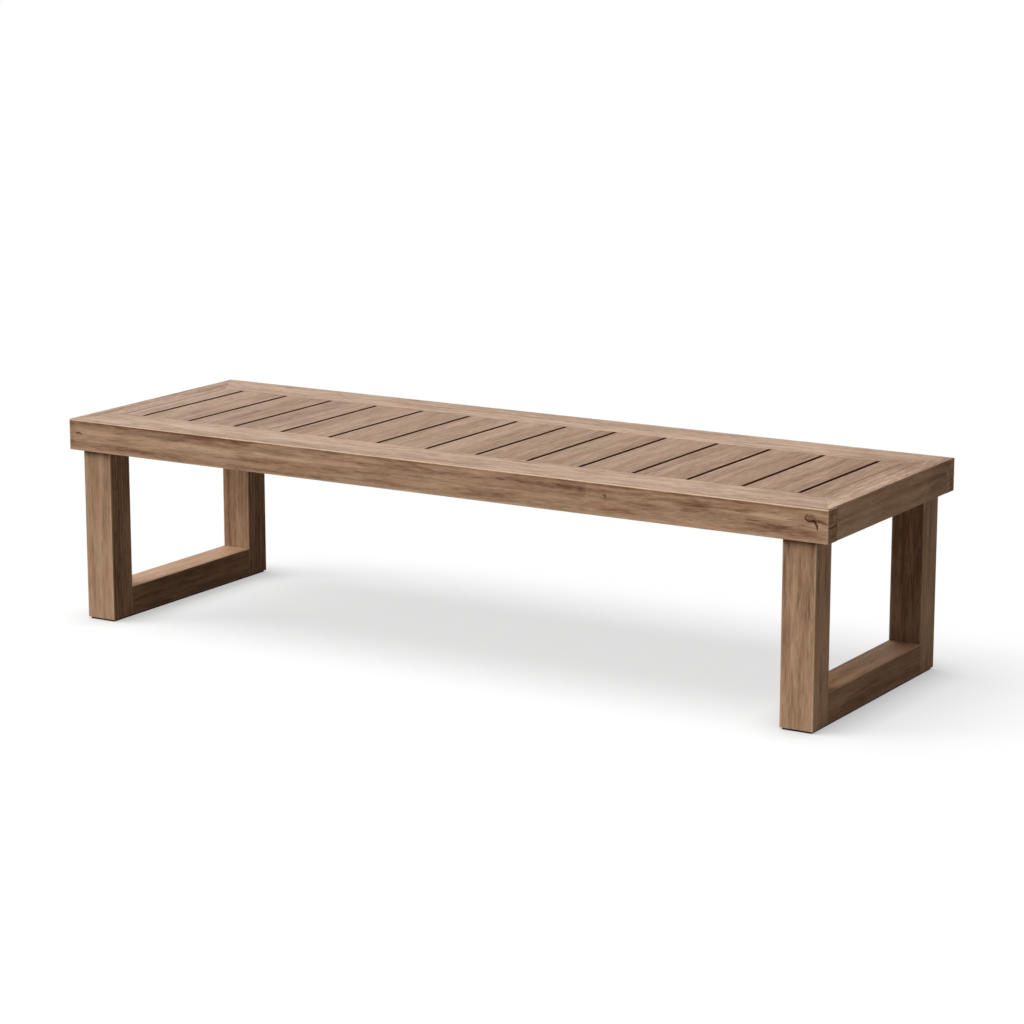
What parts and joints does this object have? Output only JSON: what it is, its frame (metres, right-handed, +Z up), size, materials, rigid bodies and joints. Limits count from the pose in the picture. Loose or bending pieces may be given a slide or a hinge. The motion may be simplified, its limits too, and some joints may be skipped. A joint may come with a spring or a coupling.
{
  "type": "backless bench",
  "caption": "Low backless outdoor bench with a mitred, slatted hardwood top on open rectangular leg frames with floor stretchers.",
  "frame": {"origin": "on the floor under the centre of the bench", "axes": "+X along the bench, -Y towards its front, +Z up"},
  "size_m": [1.77, 0.575, 0.433],
  "materials": {
    "border_wood": "weathered oiled hardwood, light brown, eased edges",
    "slat_wood": "weathered oiled hardwood, mid brown, planed",
    "apron_wood": "oiled hardwood, brown with darker streaks and small knots",
    "leg_wood": "oiled hardwood, brown, fine upright grain and checks",
    "hidden_wood": "sawn hardwood, unseen faces",
    "zinc_steel": "zinc-plated, slightly dulled",
    "strip_plastic": "black-brown moulded plastic"
  },
  "bodies": {
    "root": {"front_top_rail": "border_wood", "back_top_rail": "border_wood", "left_top_rail": "border_wood", "right_top_rail": "border_wood", "slat_01": "slat_wood", "slat_02": "slat_wood", "slat_03": "slat_wood", "slat_04": "slat_wood", "slat_05": "slat_wood", "slat_06": "slat_wood", "slat_07": "slat_wood", "slat_08": "slat_wood", "slat_09": "slat_wood", "slat_10": "slat_wood", "slat_11": "slat_wood", "slat_12": "slat_wood", "slat_13": "slat_wood", "left_closing_strip": "slat_wood", "right_closing_strip": "slat_wood", "front_slat_cleat": "hidden_wood", "back_slat_cleat": "hidden_wood", "centre_cross_brace": "hidden_wood", "front_apron": "apron_wood", "back_apron": "apron_wood", "left_end_apron": "apron_wood", "right_end_apron": "apron_wood", "left_floor_stretcher": "leg_wood", "left_leg_top_rail": "hidden_wood", "left_floor_strip": "strip_plastic", "front_left_post": "leg_wood", "back_left_post": "leg_wood", "right_floor_stretcher": "leg_wood", "right_leg_top_rail": "hidden_wood", "right_floor_strip": "strip_plastic", "front_right_post": "leg_wood", "back_right_post": "leg_wood", "front_coach_screw_1": "zinc_steel", "front_washer_1": "zinc_steel", "front_coach_screw_2": "zinc_steel", "front_washer_2": "zinc_steel", "front_coach_screw_3": "zinc_steel", "front_washer_3": "zinc_steel", "front_coach_screw_4": "zinc_steel", "front_washer_4": "zinc_steel", "back_coach_screw_1": "zinc_steel", "back_washer_1": "zinc_steel", "back_coach_screw_2": "zinc_steel", "back_washer_2": "zinc_steel", "back_coach_screw_3": "zinc_steel", "back_washer_3": "zinc_steel", "back_coach_screw_4": "zinc_steel", "back_washer_4": "zinc_steel"}
  },
  "joints": []
}
